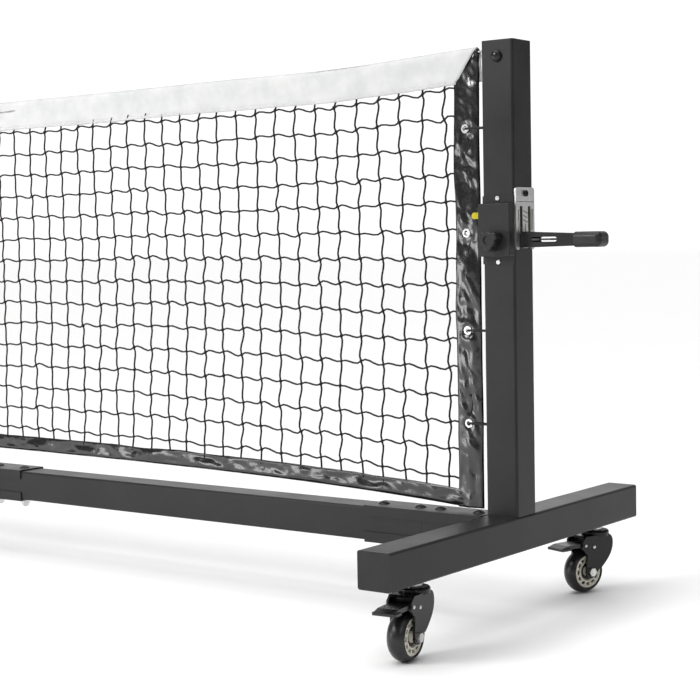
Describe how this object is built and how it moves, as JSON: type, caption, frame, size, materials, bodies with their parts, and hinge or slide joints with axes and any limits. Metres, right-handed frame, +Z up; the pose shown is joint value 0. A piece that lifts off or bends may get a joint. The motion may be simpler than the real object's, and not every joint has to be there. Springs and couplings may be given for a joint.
{
  "type": "pickleball portable net",
  "caption": "Regulation-width portable court net on two wheeled foot beams, with square steel posts, a bolted sectional base tube and a ratchet winch that tensions the headline cable.",
  "frame": {"origin": "centre of the whole box in X and Y, on the floor under the wheels; because the winch lever stands 142 mm out past the right-hand post, the middle of the net is at X = -71 mm", "axes": "+X along the net towards the post with the winch, +Y across the net, +Z up"},
  "size_m": [6.962, 0.75, 0.917],
  "materials": {
    "powder_coat": "satin black powder coat",
    "caster_steel": "gloss black enamel on pressed steel",
    "zinc_hardware": "bright zinc plating",
    "zinc_plate": "zinc-plated steel plate",
    "black_hardware": "black oxide, domed heads",
    "pawl_steel": "dull hardened steel",
    "rim_plastic": "cream moulded nylon",
    "tyre_rubber": "black polyurethane tread",
    "pedal_plastic": "black moulded nylon",
    "black_plastic": "black moulded plastic",
    "pulley_plastic": "grey acetal",
    "steel_cable": "galvanised wire rope",
    "lever_steel": "black enamel on pressed steel",
    "grip_rubber": "soft black rubber sleeve",
    "yellow_webbing": "woven polyester webbing",
    "white_tape": "white vinyl-coated tape",
    "black_vinyl": "glossy black vinyl-coated binding",
    "net_cord": "knotted black polyethylene twine",
    "tie_cord": "braided black cord"
  },
  "bodies": {
    "frame": {"band_grommets": "zinc_hardware", "base_stubs": "powder_coat", "base_tubes": "powder_coat", "cable_anchor": "black_hardware", "cable_saddle": "pulley_plastic", "caster_stems": "zinc_hardware", "foot_beam_left": "powder_coat", "foot_beam_right": "powder_coat", "foot_end_plugs": "black_plastic", "headline_cable": "steel_cable", "net_bottom_band": "black_vinyl", "net_headband": "white_tape", "net_mesh": "net_cord", "net_side_band_left": "black_vinyl", "net_side_band_right": "black_vinyl", "post_caps": "black_plastic", "post_left": "powder_coat", "post_right": "powder_coat", "post_top_bolts": "black_hardware", "ratchet_frame": "zinc_plate", "ratchet_frame_screw": "black_hardware", "side_ties": "tie_cord", "splice_bolts": "black_hardware", "splice_channels_lower": "powder_coat", "splice_channels_upper": "powder_coat", "splice_nuts": "zinc_hardware", "strap_link": "zinc_plate", "tension_strap": "yellow_webbing", "tie_hooks": "zinc_hardware", "winch_cover": "powder_coat", "winch_cover_screws": "zinc_hardware"},
    "caster_1_fork": {"caster_fork_1": "caster_steel", "caster_axle_1": "zinc_hardware"},
    "caster_1_wheel": {"caster_rim_1": "rim_plastic", "caster_tyre_1": "tyre_rubber"},
    "caster_1_pedal": {"caster_pedal_1": "pedal_plastic"},
    "caster_2_fork": {"caster_fork_2": "caster_steel", "caster_axle_2": "zinc_hardware"},
    "caster_2_wheel": {"caster_rim_2": "rim_plastic", "caster_tyre_2": "tyre_rubber"},
    "caster_2_pedal": {"caster_pedal_2": "pedal_plastic"},
    "caster_3_fork": {"caster_fork_3": "caster_steel", "caster_axle_3": "zinc_hardware"},
    "caster_3_wheel": {"caster_rim_3": "rim_plastic", "caster_tyre_3": "tyre_rubber"},
    "caster_3_pedal": {"caster_pedal_3": "pedal_plastic"},
    "caster_4_fork": {"caster_fork_4": "caster_steel", "caster_axle_4": "zinc_hardware"},
    "caster_4_wheel": {"caster_rim_4": "rim_plastic", "caster_tyre_4": "tyre_rubber"},
    "caster_4_pedal": {"caster_pedal_4": "pedal_plastic"},
    "top_pulley": {"top_pulley": "pulley_plastic"},
    "spool": {"spool_shaft": "zinc_plate", "ratchet_wheels": "zinc_plate", "strap_roll": "yellow_webbing", "winch_knob": "black_plastic"},
    "lever": {"lever_arm": "lever_steel", "lever_grip": "grip_rubber"},
    "lever_pawl": {"lever_pawl": "pawl_steel"},
    "holding_pawl": {"holding_pawl": "pawl_steel"}
  },
  "joints": [
    {"name": "caster_1_swivel", "type": "hinge", "parent": "frame", "child": "caster_1_fork", "pos_m": [3.3105, -0.275, 0.101], "axis": [0, 0, 1], "continuous": true},
    {"name": "caster_1_roll", "type": "hinge", "parent": "caster_1_fork", "child": "caster_1_wheel", "pos_m": [3.31343, -0.30285, 0.0375], "axis": [0.9945, 0.1045, 0], "continuous": true},
    {"name": "caster_1_brake", "type": "hinge", "parent": "caster_1_fork", "child": "caster_1_pedal", "pos_m": [3.31468, -0.31478, 0.084], "axis": [0.9945, 0.1045, 0], "range_deg": [0, 12]},
    {"name": "caster_2_swivel", "type": "hinge", "parent": "frame", "child": "caster_2_fork", "pos_m": [3.3105, 0.275, 0.101], "axis": [0, 0, 1], "continuous": true},
    {"name": "caster_2_roll", "type": "hinge", "parent": "caster_2_fork", "child": "caster_2_wheel", "pos_m": [3.30138, 0.24852, 0.0375], "axis": [0.9455, -0.3256, 0], "continuous": true},
    {"name": "caster_2_brake", "type": "hinge", "parent": "caster_2_fork", "child": "caster_2_pedal", "pos_m": [3.29748, 0.23718, 0.084], "axis": [0.9455, -0.3256, 0], "range_deg": [0, 12]},
    {"name": "caster_3_swivel", "type": "hinge", "parent": "frame", "child": "caster_3_fork", "pos_m": [-3.4525, -0.275, 0.101], "axis": [0, 0, 1], "continuous": true},
    {"name": "caster_3_roll", "type": "hinge", "parent": "caster_3_fork", "child": "caster_3_wheel", "pos_m": [-3.45055, -0.30293, 0.0375], "axis": [0.9976, 0.0698, 0], "continuous": true},
    {"name": "caster_3_brake", "type": "hinge", "parent": "caster_3_fork", "child": "caster_3_pedal", "pos_m": [-3.44971, -0.3149, 0.084], "axis": [0.9976, 0.0698, 0], "range_deg": [0, 12]},
    {"name": "caster_4_swivel", "type": "hinge", "parent": "frame", "child": "caster_4_fork", "pos_m": [-3.4525, 0.275, 0.101], "axis": [0, 0, 1], "continuous": true},
    {"name": "caster_4_roll", "type": "hinge", "parent": "caster_4_fork", "child": "caster_4_wheel", "pos_m": [-3.44573, 0.24783, 0.0375], "axis": [0.9703, 0.2419, 0], "continuous": true},
    {"name": "caster_4_brake", "type": "hinge", "parent": "caster_4_fork", "child": "caster_4_pedal", "pos_m": [-3.44282, 0.23619, 0.084], "axis": [0.9703, 0.2419, 0], "range_deg": [0, 12]},
    {"name": "top_pulley_turn", "type": "hinge", "parent": "frame", "child": "top_pulley", "pos_m": [3.3105, 0, 0.892], "axis": [0, 1, 0], "continuous": true},
    {"name": "spool_turn", "type": "hinge", "parent": "frame", "child": "spool", "pos_m": [3.3105, 0, 0.607], "axis": [0, 1, 0], "continuous": true},
    {"name": "lever_swing", "type": "hinge", "parent": "frame", "child": "lever", "pos_m": [3.3105, 0, 0.607], "axis": [0, -1, 0], "range_deg": [0, 38]},
    {"name": "lever_pawl_slide", "type": "slide", "parent": "lever", "child": "lever_pawl", "axis": [1, 0, 0], "range_m": [0, 0.006], "stiffness_N_per_m": 300, "springref_m": -0.004},
    {"name": "holding_pawl_slide", "type": "slide", "parent": "frame", "child": "holding_pawl", "axis": [0, 0, -1], "range_m": [0, 0.005], "stiffness_N_per_m": 400, "springref_m": -0.004}
  ],
  "couplings": [
    {"joint": "top_pulley_turn", "follows": "spool_turn", "ratio": 1}
  ]
}
